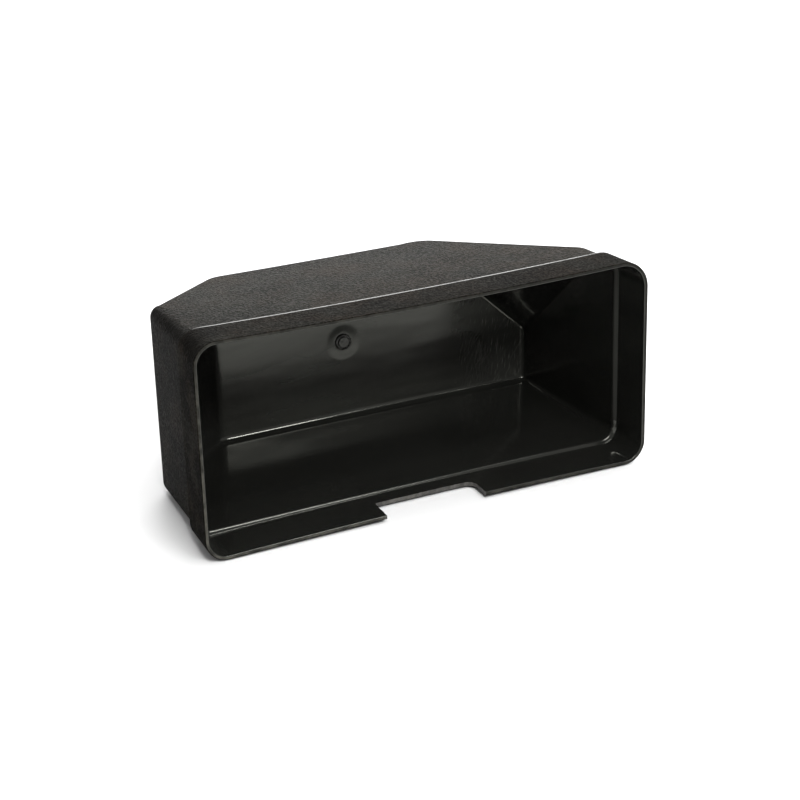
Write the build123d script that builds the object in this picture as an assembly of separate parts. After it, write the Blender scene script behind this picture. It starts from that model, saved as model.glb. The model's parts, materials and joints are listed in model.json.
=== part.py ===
"""Open-front moulded housing with a two-piece push rivet in its back wall.

Everything is drawn in the moulding frame: the rim lies in the plane y = 0 and faces -Y, +Y runs
into the depth, +Z is up, and x runs from 0 at the left wall to WIDTH at the right wall. place()
then leans the finished pieces back until the rear lower edges of the collar and of the body are
level, which is how the housing stands, and puts the origin under the middle of its box.
"""
import os
from math import asin, atan2, cos, degrees, hypot, sin, sqrt

from build123d import *

# Driving dimensions of the shell, mm.
WIDTH = 290.0  # rim, outside
HEIGHT = 132.0  # rim, outside
DEPTH = 133.5  # rim plane to the outside of the back wall
WALL = 2.4  # one wall thickness throughout
COLLAR = 29.5  # depth of the collar that stands proud round the mouth
STEP = 2.6  # how far the collar stands out from the body
DRAFT = 0.05  # every side wall leans in by this much per unit of depth
RIM_BOW = 1.8  # the long rim edges curve inwards by this much at mid-length
BODY_BOW = 0.8  # the same behind the collar
CORNER_RADIUS = 14.0  # rim corners, outside
TOP_RIGHT_RADIUS = 18.0  # the upper right corner is rounder
REAR_RADIUS = 7.5  # outside, along the edges of the back wall
REAR_INNER_RADIUS = 3.0  # the same edges inside
PLAN_RADIUS = 18.0  # outside, between the left chamfer and the back wall, seen from above
LIP_RADIUS = 1.2  # outer edge of the step behind the collar
STEP_RADIUS = 0.7  # the other edges of the step, inside and outside

# Where the vertical chamfer at the left rear starts and ends.
CHAMFER_Y = 91.0  # depth on the left wall
CHAMFER_X = 59.2  # distance from the left on the back wall

# The three points that the slanting cut at the right rear top corner passes through.
CUT_TOP_Y = 44.5  # depth on the upper right edge
CUT_BACK_X = 201.0  # distance from the left on the upper rear edge
CUT_SIDE_Z = 48.4  # height on the rear right edge

# Notch in the collar's lower lip.
NOTCH_LEFT = 112.7
NOTCH_RIGHT = 178.3
NOTCH_DEPTH = 16.8
NOTCH_RADIUS = 6.0  # its inner right corner
NOTCH_LEFT_RADIUS = 1.0  # its inner left corner

# Shallow dish in the back wall, round the rivet.
RIVET_X = 147.0
RIVET_Z = 63.0
DISH_RADIUS = 12.5
DISH_FLOOR_RADIUS = 8.0
DISH_DEPTH = 0.5
HOLE_RADIUS = 3.7

# Push rivet.
FLANGE_RADIUS = 5.4
FLANGE_THICKNESS = 1.3
FLANGE_EDGE = 1.0  # rounding all round its face
NECK_RADIUS = 3.6  # fills the hole in the back wall
NECK_LENGTH = 2.6
SHANK_RADIUS = 3.0  # goes through the bracket behind
SHANK_LENGTH = 9.6  # from the underside of the flange to the tip
TIP_LENGTH = 1.6  # tapered end of the shank
TIP_RADIUS = 2.5
BORE_RADIUS = 1.85
SLOT_WIDTH = 1.0  # parts the shank into two legs
SLOT_LENGTH = 6.0
HEAD_RADIUS = 3.6
HEAD_THICKNESS = 1.6
HEAD_EDGE = 0.5  # rounding all round its face
HEAD_SEAT_DEPTH = 1.0  # recess for the head in the flange
HEAD_CLEARANCE = 0.65  # a fingernail or a blade gets under the head here
HEAD_DIMPLE_RADIUS = 1.3  # small moulded hollow in the face of the head
HEAD_DIMPLE_DEPTH = 0.3
HEAD_DIMPLE_OFFSET = 1.0  # to the left and up
PIN_RADIUS = 1.78
PIN_LENGTH = 9.0  # below the head
STEM_EDGE = 0.6  # rounding of the pin's inner end

SEAT_Y = DEPTH - WALL + DISH_DEPTH  # underside of the rivet's flange
TINY_RADIUS = 1.5  # least corner radius that a drawn-in outline keeps
OVERRUN = 5.0  # how far a cutting shape runs past what it cuts
NEAR = 0.3  # how far a face may lie from the depth that it is looked up by
UPWARD = (Align.CENTER, Align.CENTER, Align.MIN)  # a shape that stands on its own origin

# Standing pose: on the rear lower edge of the collar and on that of the body, both rounded.
SLANT = sqrt(1 + DRAFT**2)  # length of a drafted wall for one unit of depth
CREST_Y = COLLAR - LIP_RADIUS  # centres of the two roundings
CREST_Z = DRAFT * CREST_Y + LIP_RADIUS * SLANT
HEEL_Y = DEPTH - REAR_RADIUS
HEEL_Z = STEP + DRAFT * HEEL_Y + REAR_RADIUS * SLANT
SPAN = hypot(HEEL_Y - CREST_Y, HEEL_Z - CREST_Z)
LEAN = atan2(HEEL_Z - CREST_Z, HEEL_Y - CREST_Y) - asin((REAR_RADIUS - LIP_RADIUS) / SPAN)
LIFT = LIP_RADIUS + CREST_Y * sin(LEAN) - CREST_Z * cos(LEAN)  # of the rim's lower edge
TIP_TOP_Z = RIVET_Z + TIP_RADIUS
REACH = (SEAT_Y + SHANK_LENGTH) * cos(LEAN) + TIP_TOP_Z * sin(LEAN)  # rim edge to rivet tip


def place(shape):
    """Turn a shape from the moulding frame to the standing frame."""
    return Pos(-WIDTH / 2, -REACH / 2, LIFT) * Rot(-degrees(LEAN), 0, 0) * shape


def outline(y, inset, bow):
    """Face of the mouth's outline at depth y, drawn in by inset on every side."""
    left, right = inset, WIDTH - inset
    low, high = inset, HEIGHT - inset
    radius = max(CORNER_RADIUS - inset, TINY_RADIUS)
    top_right = max(TOP_RIGHT_RADIUS - inset, TINY_RADIUS)
    middle = WIDTH / 2
    with BuildSketch(Plane.XZ.offset(-y)) as sketch:
        with BuildLine():
            CenterArc((left + radius, low + radius), radius, 180, 90)
            ThreePointArc((left + radius, low), (middle, low + bow), (right - radius, low))
            CenterArc((right - radius, low + radius), radius, 270, 90)
            Line((right, low + radius), (right, high - top_right))
            CenterArc((right - top_right, high - top_right), top_right, 0, 90)
            ThreePointArc((right - top_right, high), (middle, high - bow), (left + radius, high))
            CenterArc((left + radius, high - radius), radius, 90, 90)
            Line((left, high - radius), (left, low + radius))
        make_face()
    return sketch.sketch


def drafted(y_front, y_back, inset, bow):
    """Solid between two depths, its walls leaning in by DRAFT; inset is what it is at y = 0."""
    front = outline(y_front, inset + DRAFT * y_front, bow)
    back = outline(y_back, inset + DRAFT * y_back, bow)
    return loft([front, back], ruled=True)


def plan_prism(wall):
    """All that lies inside the plan outline: right of the chamfer and before the back wall."""
    start = Vector(STEP + DRAFT * CHAMFER_Y, CHAMFER_Y)
    along = (Vector(CHAMFER_X, DEPTH) - start).normalized()
    start = start + Vector(along.Y, -along.X) * wall
    back = DEPTH - wall
    near = start - along * (start.X + OVERRUN) / along.X
    far = start + along * (back - start.Y) / along.Y
    with BuildSketch() as sketch:
        with BuildLine():
            Polyline(
                (near.X, near.Y),
                (far.X, far.Y),
                (WIDTH, back),
                (WIDTH, -OVERRUN),
                (near.X, -OVERRUN),
                close=True,
            )
        make_face()
        turn = sketch.vertices().sort_by_distance((far.X, far.Y, 0))[0]
        fillet(turn, PLAN_RADIUS - wall)
    return extrude(sketch.sketch, HEIGHT)


def corner_cut(wall):
    """Block beyond the slanting plane of the right rear top corner."""
    top_x = WIDTH - STEP - DRAFT * CUT_TOP_Y
    top_z = HEIGHT - STEP - DRAFT * CUT_TOP_Y
    on_top = Vector(top_x, CUT_TOP_Y, top_z)
    on_back = Vector(CUT_BACK_X, DEPTH, HEIGHT - STEP - DRAFT * DEPTH)
    on_side = Vector(WIDTH - STEP - DRAFT * DEPTH, DEPTH, CUT_SIDE_Z)
    outward = (on_side - on_top).cross(on_back - on_top).normalized()
    cut_plane = Plane(origin=on_side - outward * wall, z_dir=outward)
    return cut_plane * Box(2 * WIDTH, 2 * WIDTH, WIDTH, align=UPWARD)


def is_plan_seam(edge):
    """True for the two upright lines where the plan radius meets the chamfer and the back wall."""
    box = edge.bounding_box()
    upright = edge.geom_type == GeomType.LINE and box.max.X < CHAMFER_X + PLAN_RADIUS
    return upright and box.min.Y > CHAMFER_Y + OVERRUN


def rear_edges(solid):
    """Edges round the back wall, the chamfer and the corner cut."""
    edges = []
    for face in solid.faces():
        if face.bounding_box().min.Y > COLLAR + OVERRUN:
            edges += [edge for edge in face.edges() if edge not in edges]
    return [edge for edge in edges if not is_plan_seam(edge)]


def step_face(solid, step_y):
    """The flat ring behind the collar, at depth step_y."""
    return [face for face in solid.faces() if abs(face.center().Y - step_y) < NEAR][0]


def round_step(solid, step_y, crest_radius):
    """Round the inner and then the outer edge of the step face."""
    solid = fillet(step_face(solid, step_y).inner_wires()[0].edges(), STEP_RADIUS)
    return fillet(step_face(solid, step_y).outer_wire().edges(), crest_radius)


def form(wall):
    """The outside of the shell for wall 0, or the space inside it for its wall thickness."""
    step_y = COLLAR - wall
    collar = drafted(-wall, step_y, wall, RIM_BOW)
    body = drafted(step_y, DEPTH + OVERRUN, wall + STEP, BODY_BOW)
    body = body & plan_prism(wall)
    body = body - corner_cut(wall)
    body = fillet(rear_edges(body), REAR_RADIUS if wall == 0 else REAR_INNER_RADIUS)
    crest_radius = LIP_RADIUS if wall == 0 else STEP_RADIUS
    return round_step(collar + body, step_y, crest_radius)


def on_rivet_axis(y, shape):
    """Set a shape drawn along +Z on the rivet's axis, with its own origin at depth y."""
    return Plane(origin=(RIVET_X, y, RIVET_Z), x_dir=(1, 0, 0), z_dir=(0, 1, 0)) * shape


def dish(wall):
    """The dish's hollow for wall 0, or for WALL the boss that it pushes out of the back wall."""
    cone = Cone(DISH_RADIUS + wall, DISH_FLOOR_RADIUS + wall, DISH_DEPTH, align=UPWARD)
    return on_rivet_axis(DEPTH - WALL + wall, cone)


def notch():
    """Cutter for the notch in the collar's lower lip."""
    with BuildSketch() as sketch:
        with Locations(((NOTCH_LEFT + NOTCH_RIGHT) / 2, NOTCH_DEPTH)):
            Rectangle(
                NOTCH_RIGHT - NOTCH_LEFT,
                NOTCH_DEPTH + OVERRUN,
                align=(Align.CENTER, Align.MAX),
            )
        inner = sketch.vertices().group_by(Axis.Y)[-1].sort_by(Axis.X)
        fillet(inner[0], NOTCH_LEFT_RADIUS)
        inner = sketch.vertices().group_by(Axis.Y)[-1].sort_by(Axis.X)
        fillet(inner[-1], NOTCH_RADIUS)
    return Pos(0, 0, -OVERRUN) * extrude(sketch.sketch, 2 * OVERRUN + WALL)


def housing_shell():
    """The moulded tub."""
    hole = on_rivet_axis(DEPTH - WALL - OVERRUN, Cylinder(HOLE_RADIUS, 4 * OVERRUN, align=UPWARD))
    shell = form(0.0) + dish(WALL)
    shell = shell - form(WALL)
    return shell - dish(0.0) - hole - notch()


def rivet_body():
    """Slotted body of the push rivet: a flange with a recess for the head, and a hollow shank."""
    straight = SHANK_LENGTH - TIP_LENGTH
    flange = Pos(0, 0, -FLANGE_THICKNESS) * Cylinder(FLANGE_RADIUS, FLANGE_THICKNESS, align=UPWARD)
    flange = fillet(flange.edges().group_by(Axis.Z)[0], FLANGE_EDGE)
    shank = Cylinder(SHANK_RADIUS, straight, align=UPWARD)
    neck = Cylinder(NECK_RADIUS, NECK_LENGTH, align=UPWARD)
    tip = Pos(0, 0, straight) * Cone(SHANK_RADIUS, TIP_RADIUS, TIP_LENGTH, align=UPWARD)
    seat = Cylinder(HEAD_RADIUS + HEAD_CLEARANCE, HEAD_SEAT_DEPTH, align=UPWARD)
    bore = Cylinder(BORE_RADIUS, SHANK_LENGTH + 2 * OVERRUN, align=UPWARD)
    slot = Box(SLOT_WIDTH, 4 * SHANK_RADIUS, SLOT_LENGTH + OVERRUN, align=UPWARD)
    shape = flange + neck + shank + tip
    shape = shape - Pos(0, 0, -FLANGE_THICKNESS) * seat
    shape = shape - Pos(0, 0, -OVERRUN) * bore
    shape = shape - Pos(0, 0, SHANK_LENGTH - SLOT_LENGTH) * slot
    return on_rivet_axis(SEAT_Y, shape)


def rivet_pin():
    """Centre pin of the push rivet, pushed home: its head sits in the recess of the flange."""
    head = Cylinder(HEAD_RADIUS, HEAD_THICKNESS, align=UPWARD)
    head = fillet(head.edges().group_by(Axis.Z)[0], HEAD_EDGE)
    dimple_z = HEAD_DIMPLE_DEPTH - HEAD_DIMPLE_RADIUS
    dimple_at = Pos(-HEAD_DIMPLE_OFFSET, -HEAD_DIMPLE_OFFSET, dimple_z)
    head = head - dimple_at * Sphere(HEAD_DIMPLE_RADIUS)
    stem = Pos(0, 0, HEAD_THICKNESS) * Cylinder(PIN_RADIUS, PIN_LENGTH, align=UPWARD)
    stem = fillet(stem.edges().group_by(Axis.Z)[-1], STEM_EDGE)
    face_y = SEAT_Y - FLANGE_THICKNESS + HEAD_SEAT_DEPTH - HEAD_THICKNESS
    return on_rivet_axis(face_y, head + stem)


if __name__ == "__main__":
    os.makedirs("parts", exist_ok=True)
    nodes = {
        "housing_shell": housing_shell(),
        "rivet_body": rivet_body(),
        "rivet_pin": rivet_pin(),
    }
    for name, shape in nodes.items():
        export_step(place(shape), "parts/" + name + ".step")
    print("lean %.4f degrees, lift %.4f mm, reach %.4f mm" % (degrees(LEAN), LIFT, REACH))
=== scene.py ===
"""Looks of the open housing tub: a grained, glossy-lined moulded shell with a push rivet in its back wall.

The shell is worked out in the moulding frame, in millimetres: the rim lies in the plane y = 0 and faces
-Y, +Y runs into the depth, +Z is up and x starts at the left wall. to_row() turns it to the row frame.
"""

import json
import math

import bpy
import numpy as np
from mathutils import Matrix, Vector, noise


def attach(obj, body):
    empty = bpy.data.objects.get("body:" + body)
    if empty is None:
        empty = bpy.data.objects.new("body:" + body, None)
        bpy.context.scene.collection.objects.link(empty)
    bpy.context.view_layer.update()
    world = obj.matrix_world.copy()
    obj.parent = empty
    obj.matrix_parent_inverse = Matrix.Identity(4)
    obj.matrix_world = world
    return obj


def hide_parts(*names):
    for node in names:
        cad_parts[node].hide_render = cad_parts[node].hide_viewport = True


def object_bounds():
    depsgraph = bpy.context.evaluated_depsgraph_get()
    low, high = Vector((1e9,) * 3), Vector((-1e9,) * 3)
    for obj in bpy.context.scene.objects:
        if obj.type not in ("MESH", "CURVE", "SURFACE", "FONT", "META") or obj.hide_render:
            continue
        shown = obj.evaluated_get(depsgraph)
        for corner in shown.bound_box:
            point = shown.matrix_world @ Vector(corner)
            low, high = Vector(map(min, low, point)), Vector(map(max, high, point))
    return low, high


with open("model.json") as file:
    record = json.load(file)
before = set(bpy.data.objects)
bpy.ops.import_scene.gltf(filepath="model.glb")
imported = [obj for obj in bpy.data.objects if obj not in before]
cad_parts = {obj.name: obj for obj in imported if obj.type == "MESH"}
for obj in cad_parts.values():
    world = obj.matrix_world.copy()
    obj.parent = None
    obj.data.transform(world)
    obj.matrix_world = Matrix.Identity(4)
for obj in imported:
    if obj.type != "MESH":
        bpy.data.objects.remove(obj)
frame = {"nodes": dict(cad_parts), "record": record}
cad_low, cad_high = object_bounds()

MM = 0.001
BODY = "housing"

# The shell's dimensions, mm: the CAD model's, but for the dish's floor, whose radius is 8.0 there.
WIDTH = 290.0
HEIGHT = 132.0
DEPTH = 133.5
WALL = 2.4
COLLAR = 29.5
STEP = 2.6
DRAFT = 0.05
RIM_BOW = 1.8
BODY_BOW = 0.8
CORNER_RADIUS = 14.0
TOP_RIGHT_RADIUS = 18.0
SLIMMEST_CORNER = 1.5
CHAMFER_Y = 91.0
CHAMFER_X = 59.2
CUT_TOP_Y = 44.5
CUT_BACK_X = 201.0
CUT_SIDE_Z = 48.4
RIVET_X = 147.0
RIVET_Z = 63.0
DISH_RADIUS = 12.5
DISH_FLOOR_RADIUS = 6.0
DISH_DEPTH = 0.5
HOLE_RADIUS = 3.7
NOTCH_LEFT = 112.7
NOTCH_RIGHT = 178.3
NOTCH_DEPTH = 16.8

# Roundings, mm: outside, then inside. Most differ a little from the CAD model's. CUT_RADIUS, between
# the corner cut and the back wall, differs most: it is 7.5 and 3.0 there.
REAR_RADIUS = (7.5, 4.0)
PLAN_RADIUS = (20.0, 16.0)
CUT_RADIUS = (17.0, 7.0)
CREST_RADIUS = (1.15, 0.5)
ROOT_RADIUS = (0.7, 1.7)
STEP_LEAN = np.radians((0, 20))
SIDE_STEP_ABOVE = 16.0  # the inside step is duller above this height
RIM_EDGE = 0.5

# The collar's rear edge, worn smooth and lighter in colour as a painted highlight: its width, and where it
# starts and ends along the top.
RUBBED_HIGHLIGHT_STRIP = 1.0
RUBBED_HIGHLIGHT_LEFT = 11.0
RUBBED_HIGHLIGHT_RIGHT = 278.0

# How finely the shell is meshed.
STRAIGHT_PITCH = 2.2
RIM_ARC = np.radians([0, 22, 45, 67, 90])
STEP_ARC = np.linspace(0, 1, 7)
COLLAR_BANDS = 13
CORNER_STEPS = 26
BODY_ROWS = 84
FINE_SAMPLES = 420
SWEEP_Y = 38.0  # behind this depth the mesh columns fan out round one point
CAP_RADIUS = 14.5  # inside this radius the back wall is meshed in circles
BESIDE_DISH = 13.6  # radius of the last circle on the flat wall
DISH_RINGS = 14
SEAT_RADIUS = 5.0  # a circle between the dish's slope and the hole
RUN_PER_ROW = 2.6  # mm
TURN_PER_ROW = 5  # degrees
MARCH_STEPS = 40
LEAST_FACING = 0.08  # the flattest angle, as a cosine, that a step towards a surface allows for

# The knife cut of the notch: the block that cuts it and how unevenly it runs, mm.
NOTCH_CORNER = 6.0
CUTTER_FRONT = -6.0
CUTTER_LOW = -8.0
CUTTER_HIGH = 9.0
NOTCH_PITCH = 1.5


# --- where the moulding frame lies in the row frame ---------------------------------------------

rim_mount = next(m for m in frame["record"]["mounts"] if m["name"] == "front_rim")
LEAN_SIN = rim_mount["axis"][2]
LEAN_COS = -rim_mount["axis"][1]
TURN = np.array([[1, 0, 0], [0, LEAN_COS, LEAN_SIN], [0, -LEAN_SIN, LEAN_COS]])
RIM_POINT = np.array([WALL / 2, 0, HEIGHT / 2])
ORIGIN = np.array(rim_mount["pos_m"]) - TURN @ RIM_POINT * MM


def to_row(points):
    """Moulding frame in mm to the row frame in metres."""
    return points @ TURN.T * MM + ORIGIN


# --- the shell's surfaces as distances and outward normals -----------------------------------------


def unit(vectors):
    return vectors / np.linalg.norm(vectors, axis=-1, keepdims=True)


def outline(points, inset, bow, slope):
    """Distance outside the rounded outline drawn in by inset, with its outward normal."""
    x = points[:, 0] - WIDTH / 2
    z = points[:, 2] - HEIGHT / 2
    corner = np.where((x > 0) & (z > 0), TOP_RIGHT_RADIUS, CORNER_RADIUS)
    radius = np.maximum(corner - inset, SLIMMEST_CORNER)
    along = np.clip(np.abs(x) / (WIDTH / 2 - CORNER_RADIUS), 0, 1)
    half_width = WIDTH / 2 - inset
    half_height = HEIGHT / 2 - inset - bow * (1 - along**2)
    from_x = np.abs(x) - (half_width - radius)
    from_z = np.abs(z) - (half_height - radius)
    in_corner = (from_x > 0) & (from_z > 0)
    reach = np.hypot(from_x, from_z)
    distance = np.where(in_corner, reach, np.maximum(from_x, from_z)) - radius
    on_side = from_x > from_z
    normal_x = np.where(in_corner, from_x / reach, on_side) * np.sign(x)
    normal_z = np.where(in_corner, from_z / reach, ~on_side) * np.sign(z)
    normal = unit(np.stack([normal_x, np.broadcast_to(slope, x.shape), normal_z], axis=1))
    return distance, normal


def plane(points, origin, normal):
    return (points - origin) @ normal, np.broadcast_to(normal, points.shape)


def rounded(first, second, radius):
    """Meet two surfaces in an edge rolled to a radius."""
    a, normal_a = first
    b, normal_b = second
    cosine = (normal_a * normal_b).sum(axis=1)
    spread = np.maximum(1 - cosine**2, 1e-9)
    along_a = (a + radius - cosine * (b + radius)) / spread
    along_b = (b + radius - cosine * (a + radius)) / spread
    in_edge = (along_a > 0) & (along_b > 0) & (spread > 1e-4)
    arm = along_a[:, None] * normal_a + along_b[:, None] * normal_b
    length = np.maximum(np.linalg.norm(arm, axis=1), 1e-9)
    sharp = np.maximum(a, b)
    sharp_normal = np.where((a > b)[:, None], normal_a, normal_b)
    distance = np.where(in_edge, length - radius, sharp)
    normal = np.where(in_edge[:, None], arm / length[:, None], sharp_normal)
    return distance, normal


def rear_planes(wall):
    """Origin and outward normal of the chamfer, the corner cut and the back wall, moved in by wall."""
    chamfer_from = np.array([STEP + DRAFT * CHAMFER_Y, CHAMFER_Y, 0])
    chamfer_along = np.array([CHAMFER_X, DEPTH, 0]) - chamfer_from
    chamfer_normal = unit(np.array([-chamfer_along[1], chamfer_along[0], 0]))
    drawn_in = STEP + DRAFT * CUT_TOP_Y
    on_top = np.array([WIDTH - drawn_in, CUT_TOP_Y, HEIGHT - drawn_in])
    on_back = np.array([CUT_BACK_X, DEPTH, HEIGHT - STEP - DRAFT * DEPTH])
    on_side = np.array([WIDTH - STEP - DRAFT * DEPTH, DEPTH, CUT_SIDE_Z])
    cut_normal = unit(np.cross(on_side - on_top, on_back - on_top))
    back_normal = np.array([0.0, 1.0, 0.0])
    on_wall = np.array([0, DEPTH, 0])
    found = [(chamfer_from, chamfer_normal), (on_top, cut_normal), (on_wall, back_normal)]
    return [(origin - normal * wall, normal) for origin, normal in found]


def body_surface(points, inside):
    """Distance and normal of the body behind the collar: side 0 is the outside, 1 the inside."""
    wall = WALL * inside
    chamfer, cut, back = (plane(points, *p) for p in rear_planes(wall))
    rear = rounded(chamfer, back, PLAN_RADIUS[inside])
    rear = rounded(rear, cut, CUT_RADIUS[inside])
    inset = wall + STEP + DRAFT * points[:, 1]
    return rounded(outline(points, inset, BODY_BOW, DRAFT), rear, REAR_RADIUS[inside])


def march(surface, origins, directions, start):
    """Walk in from outside along each ray to the surface."""
    reach = np.full(len(origins), start)
    for _ in range(MARCH_STEPS):
        distance, normal = surface(origins + directions * reach[:, None])
        facing = np.maximum((directions * normal).sum(axis=1), LEAST_FACING)
        reach = reach - distance / facing
    return origins + directions * reach[:, None]


# --- the mesh, column by column round the rivet's axis -----------------------------------------------


def column_angles():
    """Angles about the rivet's axis: evenly pitched walls and finely stepped corners."""
    right, top = WIDTH, HEIGHT
    corners = [
        (CORNER_RADIUS, CORNER_RADIUS, CORNER_RADIUS, 180),
        (right - CORNER_RADIUS, CORNER_RADIUS, CORNER_RADIUS, 270),
        (right - TOP_RIGHT_RADIUS, top - TOP_RIGHT_RADIUS, TOP_RIGHT_RADIUS, 0),
        (CORNER_RADIUS, top - CORNER_RADIUS, CORNER_RADIUS, 90),
    ]
    points = []
    for x, z, radius, start in corners:
        for step in range(CORNER_STEPS + 1):
            a = math.radians(start + 90 * step / CORNER_STEPS)
            points.append((x + radius * math.cos(a), z + radius * math.sin(a)))
    loop = []
    for (x0, z0), (x1, z1) in zip(points, points[1:] + points[:1]):
        pieces = max(1, round(math.hypot(x1 - x0, z1 - z0) / STRAIGHT_PITCH))
        for k in range(pieces):
            loop.append((x0 + (x1 - x0) * k / pieces, z0 + (z1 - z0) * k / pieces))
    angles = [math.atan2(z - RIVET_Z, x - RIVET_X) for x, z in loop]
    return np.unwrap(np.array(angles))


ANGLES = column_angles()
COLUMNS = len(ANGLES)
SPOKES = np.stack([np.cos(ANGLES), np.zeros(COLUMNS), np.sin(ANGLES)], axis=1)
AXIS_POINT = np.array([RIVET_X, 0, RIVET_Z])


def ring(y, inset, bow):
    """One row of the mesh: the outline at depth y."""
    origins = AXIS_POINT + np.array([0, y, 0]) + np.zeros((COLUMNS, 3))

    def surface(points):
        return outline(points, inset, bow, 0.0)

    return march(surface, origins, SPOKES, WIDTH)


def step_section(inside):
    """The step between collar and body: depth and how far it stands in, along its two roundings."""
    crest = CREST_RADIUS[inside]
    root = ROOT_RADIUS[inside]
    steepest = math.radians(90) - STEP_LEAN[inside]
    straight = (STEP - (crest + root) * (1 - math.cos(steepest))) / math.sin(steepest)
    half_run = straight * math.cos(steepest) / 2
    middle = COLLAR - WALL * inside
    section = []
    for a in STEP_ARC * steepest:
        run = crest * (math.sin(steepest) - math.sin(a))
        section.append((middle - half_run - run, crest * (1 - math.cos(a))))
    for a in STEP_ARC[::-1] * steepest:
        run = root * (math.sin(steepest) - math.sin(a))
        section.append((middle + half_run + run, STEP - root * (1 - math.cos(a))))
    return section


def collar_rows(inside):
    """Rows from the rim to just behind the step."""
    wall = WALL * inside
    section = step_section(inside)
    rows = []
    lip = 1 - 2 * inside  # the rim's edge is rounded towards the wall on either side
    for a in RIM_ARC:
        rows.append((RIM_EDGE * (1 - math.sin(a)), wall + lip * RIM_EDGE * (1 - math.cos(a)), RIM_BOW))
    rows = rows[::-1]
    for y in np.linspace(RIM_EDGE, section[0][0] - RUBBED_HIGHLIGHT_STRIP, COLLAR_BANDS + 1)[1:]:
        rows.append((y, wall + DRAFT * y, RIM_BOW))
    for y, stands_in in section:
        bow = RIM_BOW + (BODY_BOW - RIM_BOW) * stands_in / STEP
        rows.append((y, wall + DRAFT * y + stands_in, bow))
    return [ring(*row) for row in rows]


def body_rows(inside):
    """Rows from behind the step round the rear edges to the middle of the back wall."""
    wall = WALL * inside
    start_y = step_section(inside)[-1][0]
    straight = FINE_SAMPLES // 6
    swept = FINE_SAMPLES - straight
    back_y = DEPTH - wall
    steepest = math.atan2(back_y - SWEEP_Y, CAP_RADIUS)
    ray_y = np.concatenate([np.linspace(start_y, SWEEP_Y, straight), np.full(swept, SWEEP_Y)])
    rise = np.concatenate([np.zeros(straight), np.linspace(0, steepest, swept + 1)[1:]])
    count = len(ray_y)
    origins = np.repeat(AXIS_POINT[None, :], count * COLUMNS, axis=0)
    origins[:, 1] = np.tile(ray_y, COLUMNS)
    spokes = np.repeat(SPOKES, count, axis=0)
    tilt = np.tile(rise, COLUMNS)[:, None]
    directions = spokes * np.cos(tilt) + np.array([0, 1, 0]) * np.sin(tilt)

    def surface(points):
        return body_surface(points, inside)

    fine = march(surface, origins, directions, 2 * WIDTH)
    normals = surface(fine)[1].reshape(COLUMNS, count, 3)
    fine = fine.reshape(COLUMNS, count, 3)
    rows = np.empty((BODY_ROWS, COLUMNS, 3))
    for c in range(COLUMNS):
        run = np.linalg.norm(np.diff(fine[c], axis=0), axis=1)
        turn = np.arccos(np.clip((normals[c, 1:] * normals[c, :-1]).sum(axis=1), -1, 1))
        effort = np.concatenate([[0], np.cumsum(run / RUN_PER_ROW + np.degrees(turn) / TURN_PER_ROW)])
        even = np.linspace(0, effort[-1], BODY_ROWS)
        for k in range(3):
            rows[:, c, k] = np.interp(even, effort, fine[c, :, k])
    return list(rows[1:])


def dish_rows(inside):
    """Circles from the flat back wall through the dish to the rivet's hole."""
    wall = WALL * inside
    widened = WALL - wall
    rows = []
    slope = np.linspace(DISH_RADIUS, DISH_FLOOR_RADIUS, DISH_RINGS)
    for radius in [BESIDE_DISH, *slope, SEAT_RADIUS, HOLE_RADIUS]:
        if radius + widened >= CAP_RADIUS:
            continue
        share = np.clip((DISH_RADIUS - radius) / (DISH_RADIUS - DISH_FLOOR_RADIUS), 0, 1)
        depth = DEPTH - wall + DISH_DEPTH * (0.5 - 0.5 * math.cos(math.pi * share))
        spread = radius + widened if radius > HOLE_RADIUS else radius
        rows.append(AXIS_POINT + np.array([0, depth, 0]) + SPOKES * spread)
    return rows


# The shell's materials, by their numbers.
BODY_GRAIN, COLLAR_GRAIN, RUBBED_HIGHLIGHT, GLOSS, DULL_STEP, RIM, CUT = range(7)


def band_materials(inside, count):
    """Material of each band of faces between one row and the next, from the rim inwards."""
    collar, crest, body = (GLOSS, DULL_STEP, GLOSS) if inside else (COLLAR_GRAIN, RUBBED_HIGHLIGHT, BODY_GRAIN)
    bands = [collar] * (len(RIM_ARC) - 1 + COLLAR_BANDS) + [crest] * len(STEP_ARC) * (1 + inside)
    return bands + [body] * (count - 1 - len(bands))


def face_material(band, point):
    """A band's material, but for the stretches where the rubbed edge with its painted highlight or the dull
    step gives way.
    """
    if band == RUBBED_HIGHLIGHT and not (point[2] > HEIGHT / 2 and RUBBED_HIGHLIGHT_LEFT < point[0] < RUBBED_HIGHLIGHT_RIGHT):
        return COLLAR_GRAIN
    if band == DULL_STEP and point[2] < SIDE_STEP_ABOVE:
        return GLOSS
    return band


def shell_mesh():
    """Vertices in mm, faces, and the faces' material numbers."""
    outside = collar_rows(0) + body_rows(0) + dish_rows(0)
    inside = collar_rows(1) + body_rows(1) + dish_rows(1)
    rows = inside[::-1] + outside
    bands = band_materials(1, len(inside))[::-1] + [RIM] + band_materials(0, len(outside)) + [RIM]
    faces = []
    numbers = []
    for r, band in enumerate(bands):
        here = r * COLUMNS
        there = (r + 1) % len(rows) * COLUMNS
        for c in range(COLUMNS):
            d = (c + 1) % COLUMNS
            faces.append((here + c, here + d, there + d, there + c))
            numbers.append(face_material(band, rows[r][c]))
    return np.concatenate(rows), faces, numbers


def new_object(name, points, faces):
    mesh = bpy.data.meshes.new(name)
    mesh.from_pydata([tuple(p) for p in points], [], faces)
    mesh.update()
    made = bpy.data.objects.new(name, mesh)
    bpy.context.scene.collection.objects.link(made)
    return made


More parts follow.
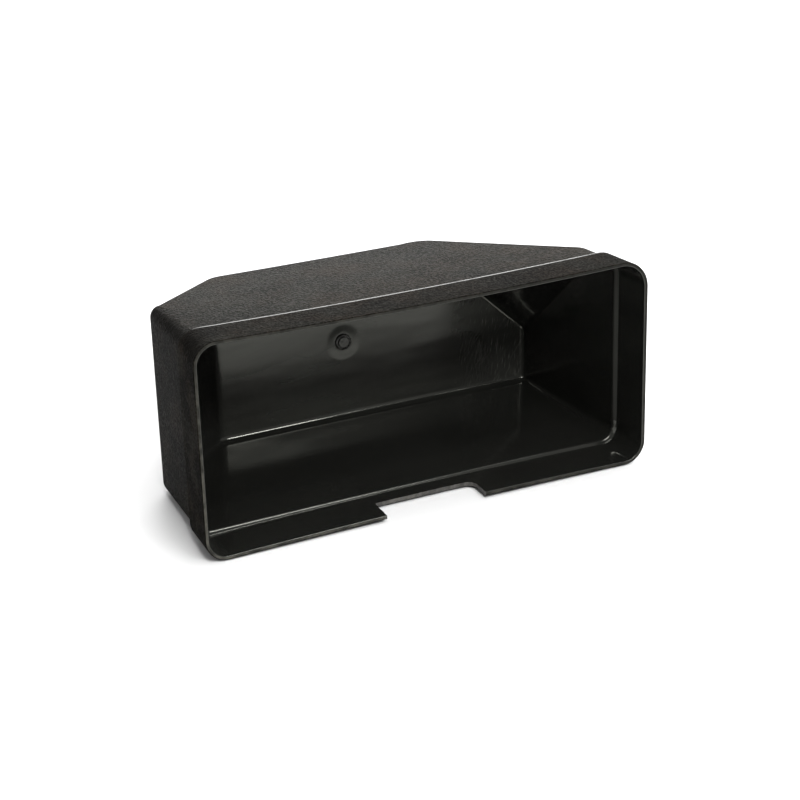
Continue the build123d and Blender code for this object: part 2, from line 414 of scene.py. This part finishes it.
def notch_cutter():
    """Block with the notch's slightly uneven, knife-cut outline."""
    corner = NOTCH_CORNER
    path = [(NOTCH_LEFT, CUTTER_FRONT)]
    for y in np.arange(0, NOTCH_DEPTH - 1.5, 2.5):
        path.append((NOTCH_LEFT + 0.12 * math.sin(1.7 * y), y))
    path.append((NOTCH_LEFT + 0.3, NOTCH_DEPTH - 0.4))
    for x in np.arange(NOTCH_LEFT + NOTCH_PITCH, NOTCH_RIGHT - corner, NOTCH_PITCH):
        slow = 0.25 * noise.noise(Vector((x * 0.09, 0.3, 0)))
        quick = 0.22 * noise.noise(Vector((x * 0.35, 5.1, 0)))
        path.append((x, NOTCH_DEPTH + slow + quick))
    for a in np.radians(range(75, -1, -15)):
        centre = (NOTCH_RIGHT - corner, NOTCH_DEPTH - corner)
        path.append((centre[0] + corner * math.cos(a), centre[1] + corner * math.sin(a)))
    path.append((NOTCH_RIGHT, CUTTER_FRONT))
    low = [(x, y, CUTTER_LOW) for x, y in path]
    high = [(x, y, CUTTER_HIGH) for x, y in path]
    count = len(path)
    faces = [tuple(range(count)), tuple(range(2 * count - 1, count - 1, -1))]
    for k in range(count):
        following = (k + 1) % count
        faces.append((k, k + count, following + count, following))
    return new_object("notch_cutter", to_row(np.array(low + high)), faces)


def build_shell(materials):
    points, faces, numbers = shell_mesh()
    shell = new_object("shell_moulding", to_row(points), faces)
    for material in materials:
        shell.data.materials.append(material)
    shell.data.polygons.foreach_set("material_index", numbers)
    cutter = notch_cutter()
    for material in materials:
        cutter.data.materials.append(material)
    cutter.data.polygons.foreach_set("material_index", [CUT] * len(cutter.data.polygons))
    cut = shell.modifiers.new("notch", "BOOLEAN")
    cut.operation = "DIFFERENCE"
    cut.solver = "EXACT"
    cut.object = cutter
    graph = bpy.context.evaluated_depsgraph_get()
    finished = bpy.data.meshes.new_from_object(shell.evaluated_get(graph))
    shell.modifiers.clear()
    shell.data = finished
    bpy.data.objects.remove(cutter)
    finished.polygons.foreach_set("use_smooth", [True] * len(finished.polygons))
    finished.set_sharp_from_angle(angle=math.radians(38))
    weighted = shell.modifiers.new("flat_walls", "WEIGHTED_NORMAL")
    weighted.keep_sharp = True
    weighted.weight = 60
    return shell


# --- materials ----------------------------------------------------------------------------------------

GRAIN_DARK = (0.0015, 0.0014, 0.0011, 1)
GRAIN_LIGHT = (0.0178, 0.0170, 0.0138, 1)
COLLAR_LIGHT = (0.015, 0.0142, 0.0118, 1)
WORN_DARK = (0.006, 0.0057, 0.005, 1)
WORN_HIGHLIGHT_GREY = (0.030, 0.030, 0.026, 1)
GLOSS_DARK = (0.0068, 0.0069, 0.0062, 1)
FLOW_GREY = (0.0130, 0.0132, 0.0115, 1)
SMEAR_AND_REFLECTION_GREY = (0.034, 0.035, 0.030, 1)
SCRATCH_GREY = (0.050, 0.050, 0.045, 1)
RIM_DARK = (0.004, 0.004, 0.0035, 1)
RIM_LIGHT = (0.055, 0.053, 0.045, 1)
CUT_DARK = (0.020, 0.019, 0.017, 1)
CUT_LIGHT = (0.065, 0.062, 0.055, 1)


class Shader:
    """A principled material and short ways to wire it."""

    def __init__(self, name):
        self.material = bpy.data.materials.new(name)
        self.material.use_nodes = True
        self.nodes = self.material.node_tree.nodes
        self.links = self.material.node_tree.links
        self.surface = self.nodes["Principled BSDF"]
        self.where = self.nodes.new("ShaderNodeTexCoord").outputs["Object"]
        self.facing = self.nodes.new("ShaderNodeNewGeometry").outputs["Normal"]

    def node(self, kind, inputs=None, **settings):
        made = self.nodes.new(kind)
        for key, value in settings.items():
            setattr(made, key, value)
        for key, value in (inputs or {}).items():
            self.feed(made.inputs[key], value)
        return made

    def feed(self, socket, value):
        if isinstance(value, bpy.types.NodeSocket):
            self.links.new(value, socket)
        else:
            socket.default_value = value

    def noise(self, scale, detail=3.0, stretch=None, turn=0.0):
        """Noise, stretched along the axes after a turn about Y, in degrees."""
        where = self.where
        if turn:
            turned = {"Vector": where, "Rotation": (0.0, math.radians(turn), 0.0)}
            where = self.node("ShaderNodeMapping", turned).outputs["Vector"]
        if stretch:
            where = self.node("ShaderNodeMapping", {"Vector": where, "Scale": stretch}).outputs["Vector"]
        inputs = {"Vector": where, "Scale": scale, "Detail": detail}
        return self.node("ShaderNodeTexNoise", inputs).outputs["Fac"]

    def spread(self, value, low, high, to_low, to_high):
        """Map a value's range to another, held at the ends."""
        inputs = {"Value": value, "From Min": low, "From Max": high, "To Min": to_low, "To Max": to_high}
        return self.node("ShaderNodeMapRange", inputs).outputs["Result"]

    def blend(self, share, first, second):
        made = self.node("ShaderNodeMix", data_type="RGBA")
        self.feed(made.inputs[0], share)
        self.feed(made.inputs[6], first)
        self.feed(made.inputs[7], second)
        return made.outputs[2]

    def math(self, operation, first, second):
        made = self.node("ShaderNodeMath", operation=operation)
        self.feed(made.inputs[0], first)
        self.feed(made.inputs[1], second)
        return made.outputs[0]

    def axes(self, vector):
        return self.node("ShaderNodeSeparateXYZ", {"Vector": vector}).outputs

    def product(self, *factors):
        result = factors[0]
        for factor in factors[1:]:
            result = self.math("MULTIPLY", result, factor)
        return result

    def depth(self, low, high, to_low, to_high):
        """Map the depth behind the rim, mm, along the moulding's own axis."""
        inwards = (0.0, LEAN_COS, -LEAN_SIN)
        made = self.node("ShaderNodeVectorMath", {0: self.where, 1: inwards}, operation="DOT_PRODUCT")
        rim = ORIGIN[1] * LEAN_COS - ORIGIN[2] * LEAN_SIN
        return self.spread(made.outputs["Value"], rim + low * MM, rim + high * MM, to_low, to_high)

    def bump(self, height, strength, distance, after=None):
        inputs = {"Height": height, "Strength": strength, "Distance": distance}
        made = self.node("ShaderNodeBump", inputs)
        if after is not None:
            self.feed(made.inputs["Normal"], after)
        return made.outputs["Normal"]

    def set(self, **sockets):
        for name, value in sockets.items():
            self.feed(self.surface.inputs[name.replace("_", " ")], value)


def grained_plastic(name, dark, light, rough, shine, left_face_painted_light):
    """Outside: matt black with a fine haircell grain that fades on the roundings, lighter patches, a darker
    left end, painted light on faces turned to the left and a painted sheen that lightens the colour towards
    the rear.
    """
    s = Shader(name)
    cells = s.node("ShaderNodeTexVoronoi", {"Vector": s.where, "Scale": 520.0}).outputs["Distance"]
    hair = s.noise(760.0, 2.0)
    fine = s.noise(1700.0, 1.0)
    grain = s.math("ADD", s.math("MULTIPLY", cells, 0.45), s.math("MULTIPLY", hair, 1.1))
    grain = s.math("ADD", grain, s.math("MULTIPLY", fine, 0.5))
    facing = s.axes(s.facing)
    turned = s.product(facing["X"], facing["Z"])
    flat = s.spread(s.product(turned, turned), 0.03, 0.2, 1.0, 0.25)
    # painted light: faces turned to the left have their colour scaled, darker on the body and lighter on
    # the collar
    painted_light_on_left = s.spread(facing["X"], -0.9, -0.1, left_face_painted_light, 1.0)
    # darker at the left end, in patches
    left_end = s.spread(s.axes(s.where)["X"], -0.142, -0.112, 0.25, 1.0)
    darker_left_end_patches = s.math("MAXIMUM", left_end, s.spread(s.noise(60.0, 4.0), 0.45, 0.62, 0.2, 1.0))
    patches = s.spread(s.noise(30.0, 4.0), 0.35, 0.65, 0.0, 0.45)
    # painted sheen: the colour lightens from the rim towards the rear
    rear = s.depth(0.0, 80.0, 0.72, 1.08)
    tone = s.math("ADD", s.spread(grain, 0.92, 1.27, 0.0, 1.0), patches)
    tone = s.product(tone, flat, rear, painted_light_on_left, darker_left_end_patches)
    dulling = s.spread(grain, 0.75, 1.35, rough + 0.10, rough - 0.06)
    gloss = s.math("SUBTRACT", dulling, s.depth(0, 100, -0.06, 0.05))
    brown = s.spread(s.noise(45.0, 4.0), 0.42, 0.62, 0.0, 1.0)
    tinted = s.blend(brown, light, (light[0] * 1.1, light[1] * 0.92, light[2] * 0.82, 1))
    s.set(Base_Color=s.blend(tone, dark, tinted), Roughness=gloss)
    s.set(Normal=s.bump(s.product(grain, flat), 1.0, 0.0016))
    s.set(Specular_IOR_Level=shine, Specular_Tint=(1.0, 0.97, 0.84, 1))
    return s.material


def rubbed_and_highlight_plastic():
    """The collar's rear edge: its grain is worn smooth along the top, where things slide over it, and its
    lighter colour there is a painted highlight that fades out at the left end.
    """
    s = Shader("shell_rubbed_and_highlight")
    # painted highlight: the worn strip's lighter colour, faded out towards the left end
    highlight_left_fade = s.spread(s.axes(s.where)["X"], -0.135, -0.127, 0.2, 1.0)
    worn_and_highlight = s.product(highlight_left_fade, s.spread(s.noise(120.0, 4.0), 0.3, 0.5, 0.75, 1.0))
    s.set(Base_Color=s.blend(worn_and_highlight, WORN_DARK, WORN_HIGHLIGHT_GREY))
    s.set(Roughness=s.spread(worn_and_highlight, 0.0, 1.0, 0.8, 0.4), Specular_IOR_Level=0.3)
    s.set(Normal=s.bump(s.noise(900.0, 2.0), 0.25, 0.0002), Specular_Tint=(1.0, 0.99, 0.92, 1))
    return s.material


def glossy_plastic(name, shine):
    """Inside: polished black, with smears and handling scratches on the duller back wall; the smears grow
    lighter towards the upper left as a painted reflection.
    """
    s = Shader(name)
    place = s.axes(s.where)
    back_wall = s.depth(DEPTH - WALL - 0.6, DEPTH - WALL - 0.1, 0.0, 1.0)
    flow = s.spread(s.noise(26.0, 5.0, stretch=(0.5, 1.0, 3.0)), 0.40, 0.64, 0.0, 1.0)
    # painted reflection: the smears grow lighter towards the upper left of the back wall, where it mirrors
    # the lit floor
    reflection_left = s.spread(place["X"], -0.02, 0.07, 1.0, 0.25)
    reflection_top = s.spread(place["Z"], 0.03, 0.09, 0.2, 1.0)
    wiped = s.spread(s.noise(22.0, 4.0, stretch=(0.35, 1.0, 2.2), turn=12.0), 0.42, 0.66, 0.25, 1.0)
    smears_and_reflection = s.product(wiped, reflection_left, reflection_top)
    clouds = s.spread(s.noise(12.0, 3.0), 0.35, 0.7, 0.0, 0.05)
    lined = s.product(flow, s.spread(back_wall, 0.0, 1.0, 0.25, 0.8))
    colour = s.blend(lined, GLOSS_DARK, FLOW_GREY)
    colour = s.blend(s.product(smears_and_reflection, back_wall), colour, SMEAR_AND_REFLECTION_GREY)
    right_end = s.product(back_wall, s.spread(place["X"], 0.075, 0.115, 0.0, 1.0))
    upright = s.spread(s.noise(2600.0, 1.0, stretch=(1.0, 0.3, 0.035), turn=-8.0), 0.60, 0.74, 0.0, 1.0)
    slanting = s.spread(s.noise(2400.0, 1.0, stretch=(1.0, 0.3, 0.03), turn=-38.0), 0.62, 0.76, 0.0, 0.8)
    scratches = s.product(s.math("MAXIMUM", upright, slanting), right_end)
    dulled = s.math("ADD", s.product(scratches, 0.6), s.product(right_end, 0.22))
    colour = s.blend(dulled, colour, SCRATCH_GREY)
    rough = s.math("ADD", s.spread(back_wall, 0.0, 1.0, 0.09, 0.16), clouds)
    rough = s.math("ADD", rough, s.product(s.spread(flow, 0.0, 1.0, 0.0, 0.05), back_wall))
    s.set(Base_Color=colour, Roughness=s.math("ADD", rough, s.product(scratches, 0.12)))
    waves = s.bump(s.noise(16.0, 2.0, stretch=(0.5, 1.0, 2.0)), 0.5, 0.0018)
    s.set(Normal=s.bump(s.noise(1400.0, 1.0), 0.05, 0.0001, after=waves))
    s.set(Specular_IOR_Level=shine, Specular_Tint=(0.99, 1.0, 0.90, 1))
    return s.material


def rim_plastic():
    """The trimmed edge of the rim: dull and mottled, lighter at the bottom and to the left."""
    s = Shader("shell_rim")
    place = s.axes(s.where)
    mottle = s.spread(s.noise(190.0, 5.0), 0.38, 0.62, 0.15, 1.0)
    low = s.spread(place["Z"], 0.02, 0.125, 1.0, 0.35)
    lighter_low_left = s.product(mottle, s.spread(place["X"], -0.14, 0.12, 1.0, 0.3), low)
    marks = s.noise(900.0, 2.0)
    s.set(Base_Color=s.blend(lighter_low_left, RIM_DARK, RIM_LIGHT))
    s.set(Roughness=s.spread(marks, 0.3, 0.7, 0.5, 0.65), Specular_Tint=(1.0, 1.0, 0.9, 1))
    s.set(Normal=s.bump(marks, 0.35, 0.0002), Specular_IOR_Level=0.15)
    return s.material


def cut_plastic():
    """The knife-cut faces of the notch: dark grey, torn and rough."""
    s = Shader("shell_cut")
    torn = s.noise(420.0, 5.0, stretch=(1.0, 1.0, 0.4))
    colour = s.blend(s.spread(torn, 0.35, 0.65, 0.0, 1.0), CUT_DARK, CUT_LIGHT)
    s.set(Base_Color=colour, Roughness=0.62)
    s.set(Normal=s.bump(torn, 0.8, 0.0004))
    return s.material


def rivet_plastic(name, dark, light, rough):
    """Moulded rivet plastic with a fine mottle."""
    s = Shader(name)
    mottle = s.noise(700.0, 4.0)
    colour = s.blend(s.spread(mottle, 0.35, 0.65, 0.0, 1.0), dark, light)
    s.set(Base_Color=colour, Roughness=s.spread(mottle, 0.3, 0.7, rough - 0.05, rough + 0.05))
    s.set(Normal=s.bump(s.noise(1600.0, 2.0), 0.3, 0.0001), Specular_Tint=(1.0, 1.0, 0.93, 1))
    return s.material


# --- floor, light and camera -----------------------------------------------------------------------------

FLOOR_GREY = (0.62, 0.62, 0.62, 1)
FLOOR_HALF = 9.0
WORLD_STRENGTH = 0.5

# Softboxes, m: where they stand, their width and height, and how bright their faces are.
SOFTBOXES = {
    "front": ((0.08, -0.95, 0.93), (0.84, 0.16), 46.0),
    "top": ((0.5, 0.4, 1.5), (1.8, 1.4), 5.0),
    "back": ((0.8, 1.6, 0.7), (1.6, 0.8), 8.0),
}
POOL_PLACE = (-0.25, -0.62, 1.2)
POOL_TARGET = (-0.06, -0.18, 0.0)
POOL_WATTS = 90.0
POOL_CONE = math.radians(13)
POOL_LAMP_RADIUS = 0.2

CAMERA_PLACE = (-0.46997, -0.97007, 0.57405)
CAMERA_TURN = (63.6823, -0.3657, -26.2162)  # degrees about X, Y and Z
CAMERA_LENS = 88.39


def pale_floor():
    s = Shader("pale_floor")
    s.set(Base_Color=FLOOR_GREY, Roughness=0.6, Specular_IOR_Level=0.2)
    half = FLOOR_HALF
    corners = [(-half, -half, 0), (half, -half, 0), (half, half, 0), (-half, half, 0)]
    floor = new_object("floor", np.array(corners), [(0, 1, 2, 3)])
    floor.data.materials.append(s.material)


def softbox(name, place, size, radiance):
    """Rectangular area light aimed at the object, set by how bright its face is."""
    data = bpy.data.lights.new(name, "AREA")
    data.shape = "RECTANGLE"
    data.size, data.size_y = size
    data.energy = radiance * math.pi * size[0] * size[1]
    light = bpy.data.objects.new(name, data)
    light.location = place
    aim = Vector((cad_low + cad_high) / 2) - light.location
    light.rotation_euler = aim.to_track_quat("-Z", "Y").to_euler()
    light.visible_camera = False
    bpy.context.scene.collection.objects.link(light)


def pool_light():
    """Spot that lights only the floor before the open front; the back wall mirrors that floor."""
    data = bpy.data.lights.new("pool", "SPOT")
    data.energy = POOL_WATTS
    data.spot_size = POOL_CONE
    data.spot_blend = 1.0
    data.shadow_soft_size = POOL_LAMP_RADIUS
    light = bpy.data.objects.new("pool", data)
    light.location = POOL_PLACE
    aim = Vector(POOL_TARGET) - light.location
    light.rotation_euler = aim.to_track_quat("-Z", "Y").to_euler()
    light.visible_camera = False
    light.visible_glossy = False
    bpy.context.scene.collection.objects.link(light)


def lights():
    world = bpy.data.worlds.new("studio")
    world.use_nodes = True
    world.node_tree.nodes["Background"].inputs["Color"].default_value = (1, 1, 1, 1)
    world.node_tree.nodes["Background"].inputs["Strength"].default_value = WORLD_STRENGTH
    bpy.context.scene.world = world
    for name, (place, size, radiance) in SOFTBOXES.items():
        softbox(name, place, size, radiance)
    pool_light()


def camera():
    data = bpy.data.cameras.new("camera")
    data.sensor_width = 36.0
    data.lens = CAMERA_LENS
    made = bpy.data.objects.new("camera", data)
    made.location = CAMERA_PLACE
    made.rotation_euler = [math.radians(angle) for angle in CAMERA_TURN]
    bpy.context.scene.collection.objects.link(made)
    bpy.context.scene.camera = made


# --- the scene --------------------------------------------------------------------------------------------

camera()
lights()
pale_floor()
body_grain = grained_plastic("shell_grained", GRAIN_DARK, GRAIN_LIGHT, 0.60, 0.03, 0.62)
collar_grain = grained_plastic("shell_collar", GRAIN_DARK, COLLAR_LIGHT, 0.74, 0.025, 1.9)
inner_gloss = glossy_plastic("shell_gloss", 0.5)
dull_step = glossy_plastic("shell_dull_step", 0.12)
shell_finishes = [
    body_grain,
    collar_grain,
    rubbed_and_highlight_plastic(),
    inner_gloss,
    dull_step,
    rim_plastic(),
    cut_plastic(),
]
shell = build_shell(shell_finishes)
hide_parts("housing_shell")
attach(shell, BODY)

rivet_finishes = {
    "rivet_body": rivet_plastic("rivet_black", (0.006, 0.006, 0.0055, 1), (0.012, 0.012, 0.011, 1), 0.28),
    "rivet_pin": rivet_plastic("rivet_grey", (0.040, 0.040, 0.037, 1), (0.070, 0.070, 0.064, 1), 0.42),
}
for node, finish in rivet_finishes.items():
    part = frame["nodes"][node]
    part.data.materials.clear()
    part.data.materials.append(finish)

bpy.context.scene.view_settings.view_transform = "Standard"
